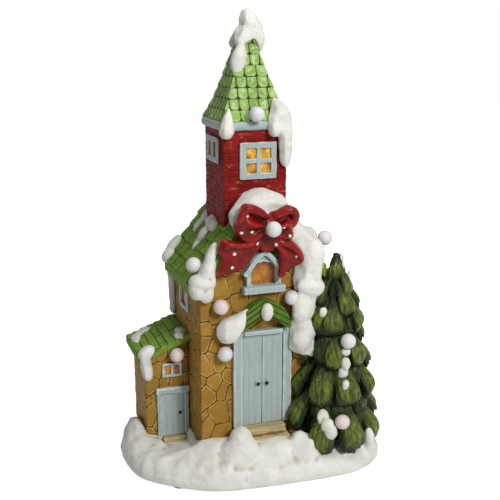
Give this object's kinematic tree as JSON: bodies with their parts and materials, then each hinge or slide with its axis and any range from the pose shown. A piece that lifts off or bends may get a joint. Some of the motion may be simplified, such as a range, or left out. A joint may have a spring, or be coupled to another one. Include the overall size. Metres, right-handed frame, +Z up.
{
  "type": "light-up christmas house",
  "caption": "Tabletop lighted winter church: gabled stone hall, red tower with tiled steeple, lean-to annex, fir tree, bow and globe lights on a snow base.",
  "frame": {"origin": "middle of the base's outline at table level", "axes": "+Z up; the hall door faces -Y; +X towards the fir tree, so the annex is at -X"},
  "size_m": [0.296, 0.196, 0.508],
  "materials": {
    "snow": "matt off-white paint on cast resin, beige wash in the hollows",
    "stonework": "ochre flagstones with dark brown joints, painted on cast resin",
    "tower_red": "dark red brick courses with pale dry-brushed joints",
    "roof_green": "yellow-green tiles, satin, darker joints",
    "trim_blue": "pale grey-blue, streaky wear",
    "fir_green": "dark glossy green with yellow-green brushed tips",
    "bow_red": "glossy dark red with white dots",
    "timber": "cream-brown painted planks",
    "amber_pane": "amber, satin",
    "globe_white": "frosted white",
    "black_plastic": "matt black moulding",
    "board_green": "circuit board",
    "wire_green": "wire insulation",
    "rubber_pad": "matt black pad",
    "cell_steel": "bare cell can"
  },
  "bodies": {
    "house": {"base_casting": "snow", "base_plate": "rubber_pad", "foot_1": "rubber_pad", "foot_2": "rubber_pad", "foot_3": "rubber_pad", "foot_4": "rubber_pad", "hall_walls": "stonework", "hall_roof": "roof_green", "tower_walls": "tower_red", "tower_cornice": "trim_blue", "steeple_roof": "roof_green", "annex_walls": "stonework", "annex_roof": "roof_green", "hall_door_frame": "trim_blue", "hall_door_left": "trim_blue", "hall_door_right": "trim_blue", "hall_steps": "timber", "door_hood": "roof_green", "annex_door_frame": "trim_blue", "annex_door": "trim_blue", "annex_doorstep": "timber", "tower_front_window_frame": "trim_blue", "tower_front_window_pane": "amber_pane", "tower_left_window_frame": "trim_blue", "tower_left_window_pane": "amber_pane", "hall_left_window_frame": "trim_blue", "hall_left_window_pane": "amber_pane", "annex_window_frame": "trim_blue", "annex_window_pane": "amber_pane", "gable_window_frame": "trim_blue", "gable_window_pane": "amber_pane", "bow": "bow_red", "fir_tree": "fir_green", "snow_gable": "snow", "snow_roof_left": "snow", "snow_back_corner": "snow", "snow_hood": "snow", "snow_keystone": "snow", "snow_annex_corner": "snow", "snow_eave_left": "snow", "snow_eave_right": "snow", "snow_steeple_cap": "snow", "bulb_steeple": "globe_white", "bulb_bow": "globe_white", "bulb_right_roof": "globe_white", "bulb_left_roof": "globe_white", "bulb_wall_upper_left": "globe_white", "bulb_wall_upper_right": "globe_white", "bulb_wall_lower_left": "globe_white", "bulb_annex": "globe_white", "bulb_tree_upper": "globe_white", "bulb_tree_lower": "globe_white", "led_harness": "wire_green", "circuit_board": "board_green", "battery_box": "black_plastic", "battery_1": "cell_steel", "battery_2": "cell_steel", "battery_3": "cell_steel"},
    "battery_door": {"battery_door": "black_plastic"},
    "power_switch": {"power_switch": "black_plastic"}
  },
  "joints": [
    {"name": "battery_door_hinge", "type": "hinge", "parent": "house", "child": "battery_door", "pos_m": [0.004, 0.0853, 0.066], "axis": [-1, 0, 0], "range_deg": [0, 100]},
    {"name": "power_switch_slide", "type": "slide", "parent": "house", "child": "power_switch", "axis": [1, 0, 0], "range_m": [0, 0.004]}
  ]
}
